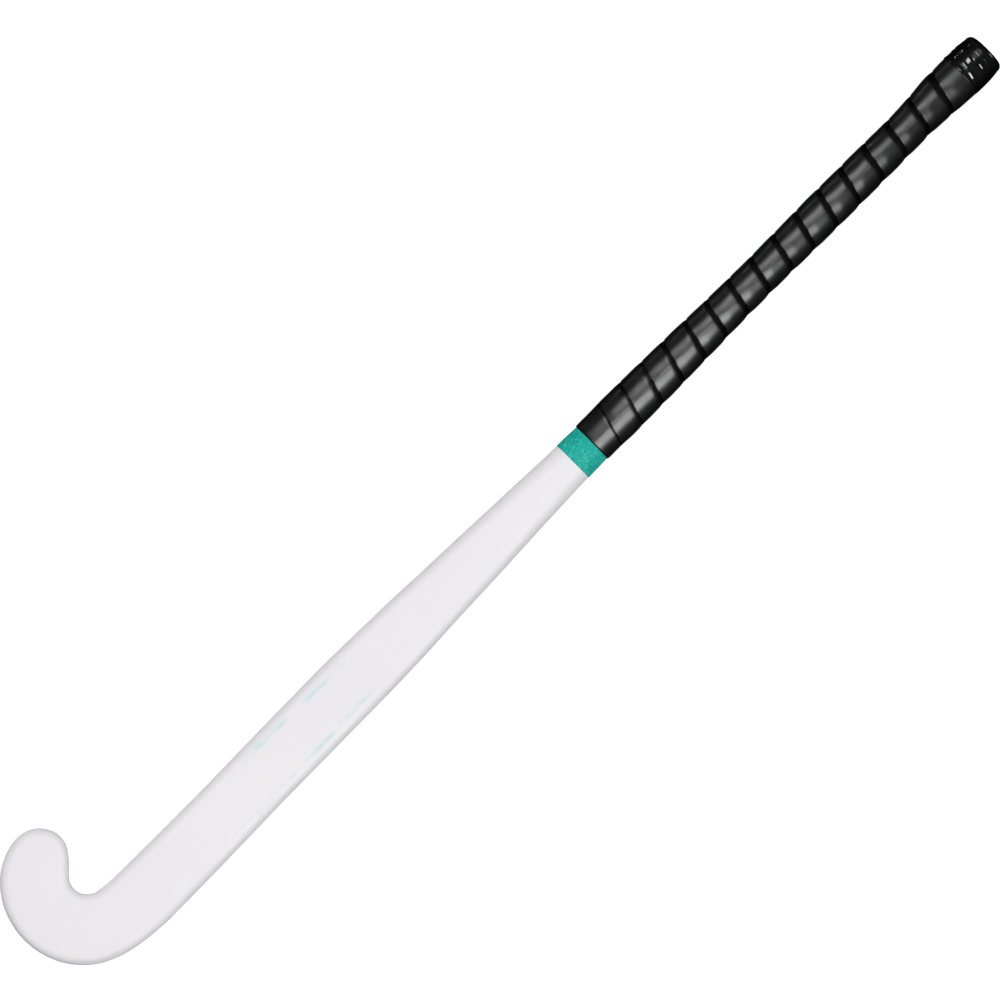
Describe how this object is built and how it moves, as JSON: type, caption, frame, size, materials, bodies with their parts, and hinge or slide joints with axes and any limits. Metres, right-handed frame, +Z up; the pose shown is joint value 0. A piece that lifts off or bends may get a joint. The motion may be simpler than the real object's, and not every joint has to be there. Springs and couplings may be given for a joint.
{
  "type": "field hockey stick",
  "caption": "Field hockey stick: moulded composite shaft with a flat playing face and J-shaped hook head, wound cushion grip, coloured collar band and capped butt.",
  "frame": {"origin": "on the floor under the middle of the stick's outline, with the stick lying on its back", "axes": "+X along the handle towards the butt, +Y towards the toe, +Z up, out of the playing face. The stick lies as it balances on its bow: rolled 7.2 degrees towards the toe and pitched 1.2 degrees"},
  "size_m": [0.9268, 0.1168, 0.0509],
  "materials": {
    "white_lacquer": "satin",
    "light_foam": "matte",
    "bare_laminate": "satin",
    "dense_foam": "matte",
    "damper_rubber": "matte",
    "plug_wood": "matte",
    "cap_plastic": "gloss",
    "grip_cushion": "satin",
    "teal_tape": "satin",
    "black_gloss_tape": "gloss"
  },
  "bodies": {
    "root": {"laminate_shell": "white_lacquer", "shaft_core_toe_side": "light_foam", "shaft_core_heel_side": "light_foam", "centre_rib": "bare_laminate", "head_core": "dense_foam", "heel_damper": "damper_rubber", "handle_plug": "plug_wood", "butt_cap": "cap_plastic", "grip_wrap": "grip_cushion", "collar_band": "teal_tape", "butt_tape": "black_gloss_tape"}
  },
  "joints": []
}
